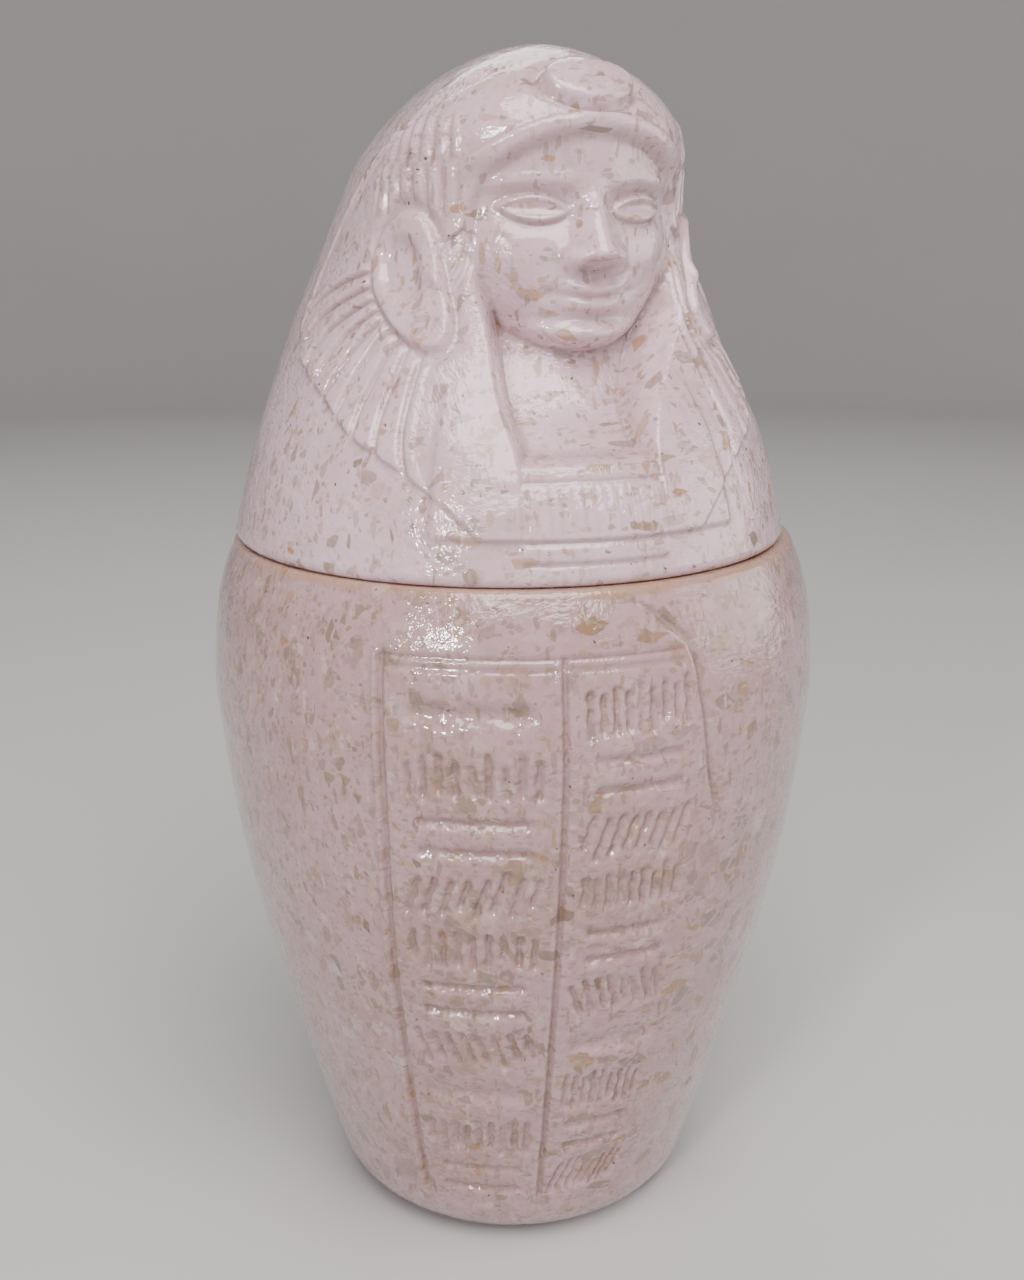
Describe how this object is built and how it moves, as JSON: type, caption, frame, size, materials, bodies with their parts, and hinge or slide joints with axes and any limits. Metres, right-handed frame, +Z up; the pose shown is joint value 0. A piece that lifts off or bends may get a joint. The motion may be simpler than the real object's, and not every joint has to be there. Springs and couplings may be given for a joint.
{
  "type": "canopic jar",
  "caption": "Tapered hollow jar on a narrow flat base with a lift-off lid shaped as a human head in a striped headdress and broad collar, cast in chipped stone composite.",
  "frame": {"origin": "centre of the jar's flat underside", "axes": "+Z up along the jar's axis, -Y the way the head faces, +X to the viewer's right of that face"},
  "size_m": [0.094, 0.094, 0.18],
  "materials": {
    "jar_stone": "polished",
    "lid_stone": "polished"
  },
  "bodies": {
    "root": {"jar_body": "jar_stone", "head_lid": "lid_stone"}
  },
  "joints": []
}
